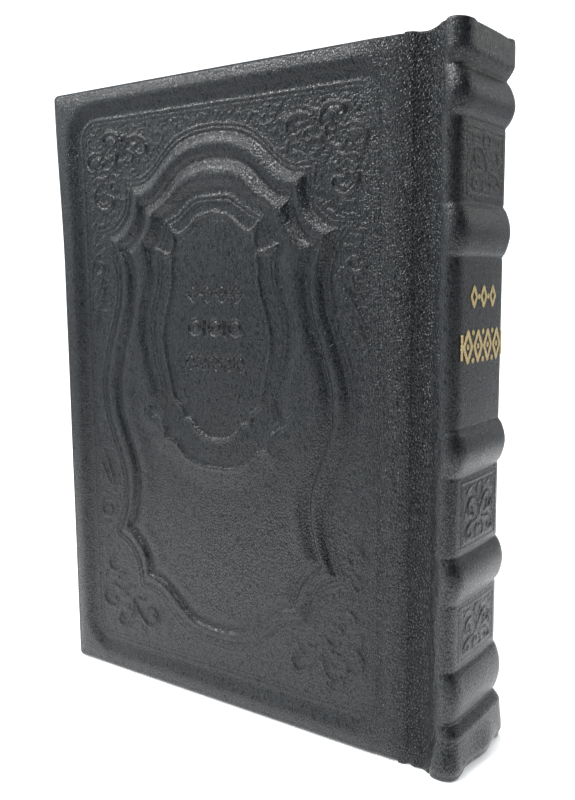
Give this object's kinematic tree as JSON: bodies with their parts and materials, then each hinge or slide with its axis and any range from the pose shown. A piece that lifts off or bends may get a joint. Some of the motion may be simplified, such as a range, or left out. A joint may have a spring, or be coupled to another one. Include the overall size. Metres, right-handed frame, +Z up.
{
  "type": "leather-bound book",
  "caption": "Upright padded leather book with hinged covers, fanning leaves, a tooled cover panel, deep joints and a spine with raised bands.",
  "frame": {"origin": "bottom centre of the box: on the floor the book stands on, midway between fore-edge and spine and midway between the covers", "axes": "+Z up along the spine, +X from the fore-edge to the spine, -Y out of the front cover"},
  "size_m": [0.182, 0.042, 0.243],
  "materials": {
    "black_leather": "satin",
    "greyboard": "matte",
    "foam": "matte",
    "endpaper": "matte",
    "text_paper": "matte",
    "lining_cloth": "matte",
    "headband_silk": "satin",
    "band_cord": "matte",
    "gold_foil": "polished"
  },
  "bodies": {
    "spine": {"spine_leather": "black_leather", "raised_bands": "band_cord", "cap_pads": "band_cord", "spine_inlay": "greyboard", "spine_lining": "lining_cloth", "headband": "headband_silk", "tailband": "headband_silk", "section_backs": "text_paper", "title_gilt": "gold_foil", "front_joint_leather": "black_leather", "back_joint_leather": "black_leather", "front_endpaper_joint": "endpaper", "back_endpaper_joint": "endpaper"},
    "front_cover": {"front_cover_leather": "black_leather", "front_padding": "foam", "front_board": "greyboard", "front_pastedown": "endpaper"},
    "back_cover": {"back_cover_leather": "black_leather", "back_padding": "foam", "back_board": "greyboard", "back_pastedown": "endpaper"},
    "front_flyleaf": {"front_flyleaf": "endpaper"},
    "back_flyleaf": {"back_flyleaf": "endpaper"},
    "leaf_01": {"section_01": "text_paper"},
    "leaf_02": {"section_02": "text_paper"},
    "leaf_03": {"section_03": "text_paper"},
    "leaf_04": {"section_04": "text_paper"},
    "leaf_05": {"section_05": "text_paper"},
    "leaf_06": {"section_06": "text_paper"},
    "leaf_07": {"section_07": "text_paper"},
    "leaf_08": {"section_08": "text_paper"},
    "leaf_09": {"section_09": "text_paper"},
    "leaf_10": {"section_10": "text_paper"},
    "leaf_11": {"section_11": "text_paper"},
    "leaf_12": {"section_12": "text_paper"},
    "leaf_13": {"section_13": "text_paper"},
    "leaf_14": {"section_14": "text_paper"},
    "leaf_15": {"section_15": "text_paper"},
    "leaf_16": {"section_16": "text_paper"},
    "leaf_17": {"section_17": "text_paper"},
    "leaf_18": {"section_18": "text_paper"},
    "leaf_19": {"section_19": "text_paper"},
    "leaf_20": {"section_20": "text_paper"}
  },
  "joints": [
    {"name": "front_cover_hinge", "type": "hinge", "parent": "spine", "child": "front_cover", "pos_m": [0.0785, -0.0195, 0.12], "axis": [0, 0, 1], "range_deg": [0, 135], "deforming": ["front_joint_leather", "front_endpaper_joint"]},
    {"name": "back_cover_hinge", "type": "hinge", "parent": "spine", "child": "back_cover", "pos_m": [0.0785, 0.0195, 0.12], "axis": [0, 0, 1], "range_deg": [-135, 0], "deforming": ["back_joint_leather", "back_endpaper_joint"]},
    {"name": "front_flyleaf_turn", "type": "hinge", "parent": "spine", "child": "front_flyleaf", "pos_m": [0.0755, -0.01572, 0.12], "axis": [0, 0, 1], "range_deg": [0, 80.05]},
    {"name": "back_flyleaf_turn", "type": "hinge", "parent": "spine", "child": "back_flyleaf", "pos_m": [0.0755, 0.01572, 0.12], "axis": [0, 0, 1], "range_deg": [-80.05, 0]},
    {"name": "section_01_turn", "type": "hinge", "parent": "spine", "child": "leaf_01", "pos_m": [0.0755, -0.01482, 0.12], "axis": [0, 0, 1], "range_deg": [0, 60.05]},
    {"name": "section_02_turn", "type": "hinge", "parent": "spine", "child": "leaf_02", "pos_m": [0.0755, -0.01326, 0.12], "axis": [0, 0, 1], "range_deg": [0, 54.05]},
    {"name": "section_03_turn", "type": "hinge", "parent": "spine", "child": "leaf_03", "pos_m": [0.0755, -0.0117, 0.12], "axis": [0, 0, 1], "range_deg": [0, 48.05]},
    {"name": "section_04_turn", "type": "hinge", "parent": "spine", "child": "leaf_04", "pos_m": [0.0755, -0.01014, 0.12], "axis": [0, 0, 1], "range_deg": [0, 42.05]},
    {"name": "section_05_turn", "type": "hinge", "parent": "spine", "child": "leaf_05", "pos_m": [0.0755, -0.00858, 0.12], "axis": [0, 0, 1], "range_deg": [0, 36.05]},
    {"name": "section_06_turn", "type": "hinge", "parent": "spine", "child": "leaf_06", "pos_m": [0.0755, -0.00702, 0.12], "axis": [0, 0, 1], "range_deg": [0, 30.05]},
    {"name": "section_07_turn", "type": "hinge", "parent": "spine", "child": "leaf_07", "pos_m": [0.0755, -0.00546, 0.12], "axis": [0, 0, 1], "range_deg": [0, 24.05]},
    {"name": "section_08_turn", "type": "hinge", "parent": "spine", "child": "leaf_08", "pos_m": [0.0755, -0.0039, 0.12], "axis": [0, 0, 1], "range_deg": [0, 18.05]},
    {"name": "section_09_turn", "type": "hinge", "parent": "spine", "child": "leaf_09", "pos_m": [0.0755, -0.00234, 0.12], "axis": [0, 0, 1], "range_deg": [0, 12.05]},
    {"name": "section_10_turn", "type": "hinge", "parent": "spine", "child": "leaf_10", "pos_m": [0.0755, -0.00078, 0.12], "axis": [0, 0, 1], "range_deg": [0, 6.05]},
    {"name": "section_11_turn", "type": "hinge", "parent": "spine", "child": "leaf_11", "pos_m": [0.0755, 0.00078, 0.12], "axis": [0, 0, 1], "range_deg": [-6.05, 0]},
    {"name": "section_12_turn", "type": "hinge", "parent": "spine", "child": "leaf_12", "pos_m": [0.0755, 0.00234, 0.12], "axis": [0, 0, 1], "range_deg": [-12.05, 0]},
    {"name": "section_13_turn", "type": "hinge", "parent": "spine", "child": "leaf_13", "pos_m": [0.0755, 0.0039, 0.12], "axis": [0, 0, 1], "range_deg": [-18.05, 0]},
    {"name": "section_14_turn", "type": "hinge", "parent": "spine", "child": "leaf_14", "pos_m": [0.0755, 0.00546, 0.12], "axis": [0, 0, 1], "range_deg": [-24.05, 0]},
    {"name": "section_15_turn", "type": "hinge", "parent": "spine", "child": "leaf_15", "pos_m": [0.0755, 0.00702, 0.12], "axis": [0, 0, 1], "range_deg": [-30.05, 0]},
    {"name": "section_16_turn", "type": "hinge", "parent": "spine", "child": "leaf_16", "pos_m": [0.0755, 0.00858, 0.12], "axis": [0, 0, 1], "range_deg": [-36.05, 0]},
    {"name": "section_17_turn", "type": "hinge", "parent": "spine", "child": "leaf_17", "pos_m": [0.0755, 0.01014, 0.12], "axis": [0, 0, 1], "range_deg": [-42.05, 0]},
    {"name": "section_18_turn", "type": "hinge", "parent": "spine", "child": "leaf_18", "pos_m": [0.0755, 0.0117, 0.12], "axis": [0, 0, 1], "range_deg": [-48.05, 0]},
    {"name": "section_19_turn", "type": "hinge", "parent": "spine", "child": "leaf_19", "pos_m": [0.0755, 0.01326, 0.12], "axis": [0, 0, 1], "range_deg": [-54.05, 0]},
    {"name": "section_20_turn", "type": "hinge", "parent": "spine", "child": "leaf_20", "pos_m": [0.0755, 0.01482, 0.12], "axis": [0, 0, 1], "range_deg": [-60.05, 0]}
  ],
  "couplings": [
    {"joint": "front_flyleaf_turn", "follows": "front_cover_hinge", "ratio": 0.59259},
    {"joint": "back_flyleaf_turn", "follows": "back_cover_hinge", "ratio": 0.59259},
    {"joint": "section_01_turn", "follows": "front_cover_hinge", "ratio": 0.44444},
    {"joint": "section_02_turn", "follows": "front_cover_hinge", "ratio": 0.4},
    {"joint": "section_03_turn", "follows": "front_cover_hinge", "ratio": 0.35556},
    {"joint": "section_04_turn", "follows": "front_cover_hinge", "ratio": 0.31111},
    {"joint": "section_05_turn", "follows": "front_cover_hinge", "ratio": 0.26667},
    {"joint": "section_06_turn", "follows": "front_cover_hinge", "ratio": 0.22222},
    {"joint": "section_07_turn", "follows": "front_cover_hinge", "ratio": 0.17778},
    {"joint": "section_08_turn", "follows": "front_cover_hinge", "ratio": 0.13333},
    {"joint": "section_09_turn", "follows": "front_cover_hinge", "ratio": 0.088889},
    {"joint": "section_10_turn", "follows": "front_cover_hinge", "ratio": 0.044444},
    {"joint": "section_11_turn", "follows": "back_cover_hinge", "ratio": 0.044444},
    {"joint": "section_12_turn", "follows": "back_cover_hinge", "ratio": 0.088889},
    {"joint": "section_13_turn", "follows": "back_cover_hinge", "ratio": 0.13333},
    {"joint": "section_14_turn", "follows": "back_cover_hinge", "ratio": 0.17778},
    {"joint": "section_15_turn", "follows": "back_cover_hinge", "ratio": 0.22222},
    {"joint": "section_16_turn", "follows": "back_cover_hinge", "ratio": 0.26667},
    {"joint": "section_17_turn", "follows": "back_cover_hinge", "ratio": 0.31111},
    {"joint": "section_18_turn", "follows": "back_cover_hinge", "ratio": 0.35556},
    {"joint": "section_19_turn", "follows": "back_cover_hinge", "ratio": 0.4},
    {"joint": "section_20_turn", "follows": "back_cover_hinge", "ratio": 0.44444}
  ]
}
